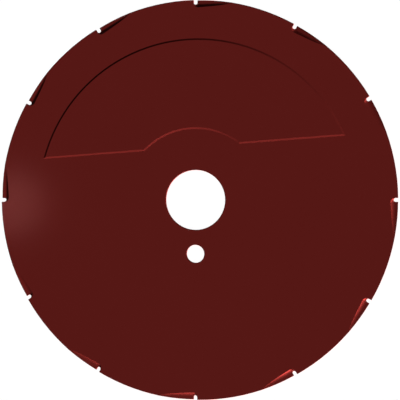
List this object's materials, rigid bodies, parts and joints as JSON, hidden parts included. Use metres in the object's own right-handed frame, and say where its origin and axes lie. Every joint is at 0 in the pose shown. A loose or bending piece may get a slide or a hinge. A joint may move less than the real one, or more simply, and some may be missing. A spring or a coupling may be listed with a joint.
{
  "type": "seed plate",
  "caption": "Flat round seed plate with a centre bore, a drive pin hole, ramped seed cells round the rim and a low half-moon pad on its face.",
  "frame": {"origin": "centre of the bore, on the flat underside", "axes": "+Z along the bore, out of the pocketed face; +Y towards the first seed cell and the half-moon pad; the drive pin hole is on -Y"},
  "size_m": [0.2, 0.2, 0.0024],
  "materials": {
    "plate": "satin moulded red plastic"
  },
  "bodies": {
    "root": {"seed_plate": "plate"}
  },
  "joints": []
}
